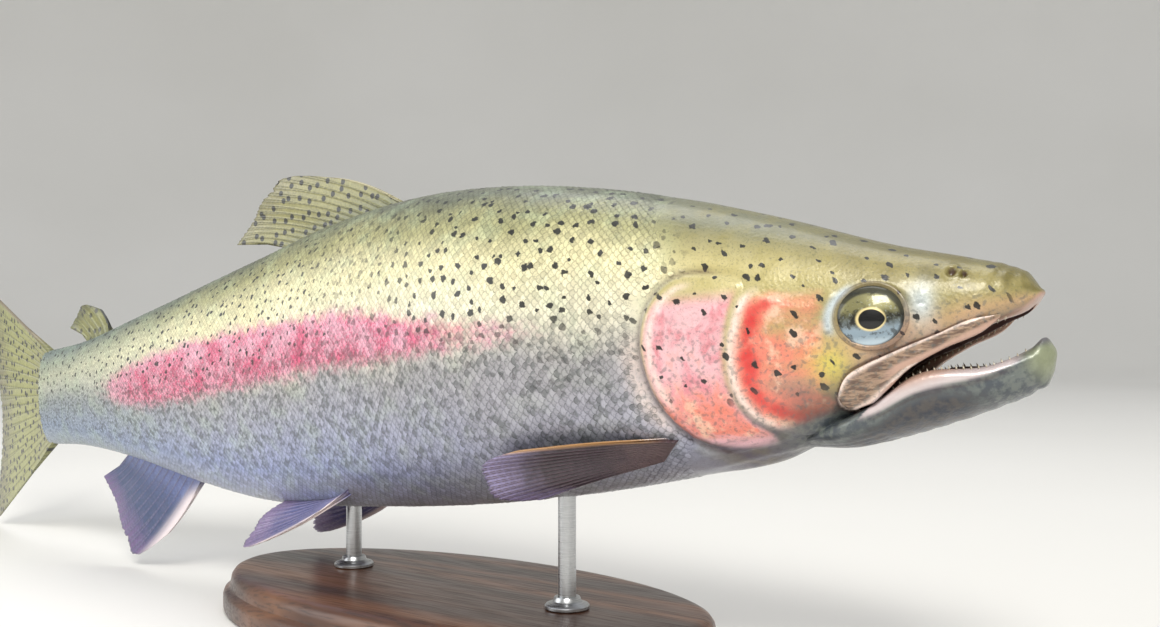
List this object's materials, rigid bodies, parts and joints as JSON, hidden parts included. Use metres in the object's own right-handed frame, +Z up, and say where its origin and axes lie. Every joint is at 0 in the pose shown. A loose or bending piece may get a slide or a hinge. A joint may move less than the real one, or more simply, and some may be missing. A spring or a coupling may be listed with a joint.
{
  "type": "rainbow trout display model",
  "caption": "Life-size rainbow trout with its mouth a little open and body gently bent, held on short rods over a flat oval display base.",
  "frame": {"origin": "middle of the whole model's footprint, on the floor under the base", "axes": "+X along the fish's chord towards its head, +Y to the fish's left, +Z up"},
  "size_m": [0.5676, 0.112, 0.1698],
  "materials": {
    "skin": "wet fish skin: olive back, black spots, rose band, silver-grey flank",
    "mouth": "moist dark mouth lining",
    "eye": "glassy eye with a black pupil and a gold ring",
    "fin": "wet rayed fin membrane",
    "base_wood": "satin dark hardwood",
    "rod_steel": "brushed steel"
  },
  "bodies": {
    "root": {"head": "skin", "jaw_lower": "skin", "tongue": "mouth", "maxilla_right": "skin", "maxilla_left": "skin", "gill_cover_right": "skin", "gill_cover_left": "skin", "eye_right": "eye", "eye_left": "eye", "trunk_front": "skin", "trunk_mid": "skin", "trunk_rear": "skin", "tail_root": "skin", "fin_dorsal": "fin", "fin_adipose": "fin", "fin_anal": "fin", "fin_caudal": "fin", "fin_pelvic_right": "fin", "fin_pelvic_left": "fin", "fin_pectoral_right": "fin", "fin_pectoral_left": "fin", "stand_base": "base_wood", "stand_rod_front": "rod_steel", "stand_rod_rear": "rod_steel", "stand_collar_front": "rod_steel", "stand_collar_rear": "rod_steel"}
  },
  "joints": []
}
